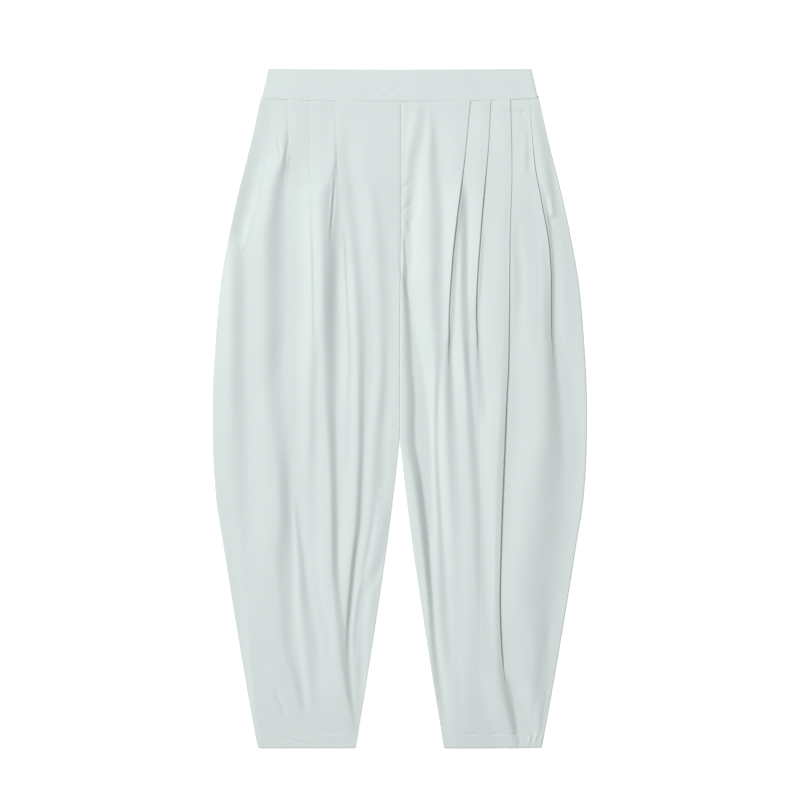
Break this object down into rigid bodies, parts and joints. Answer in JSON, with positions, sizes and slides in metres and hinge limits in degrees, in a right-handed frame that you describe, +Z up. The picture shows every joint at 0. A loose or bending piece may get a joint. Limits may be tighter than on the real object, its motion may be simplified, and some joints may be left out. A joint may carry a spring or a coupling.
{
  "type": "harem pants laid flat",
  "caption": "Tapered harem trousers laid flat front up, with a straight waistband, reverse knife pleats, slanted side pockets and plain turned hems.",
  "frame": {"origin": "on the ground under the middle of the laid-out trousers' outline", "axes": "+Z up out of the front, +Y towards the waistband, +X towards the wearer's left leg"},
  "size_m": [0.531, 0.9634, 0.0133],
  "materials": {
    "crepe": "pale ice-green satin-backed crepe with a soft sheen",
    "pocket_facing": "the same crepe, matt side out, seen only at the edge of the pocket mouth"
  },
  "bodies": {
    "root": {"waistband_front": "crepe", "waistband_back": "crepe", "front_right": "crepe", "front_left": "crepe", "back_right": "crepe", "back_left": "crepe", "pocket_right": "pocket_facing", "pocket_left": "pocket_facing"}
  },
  "joints": []
}
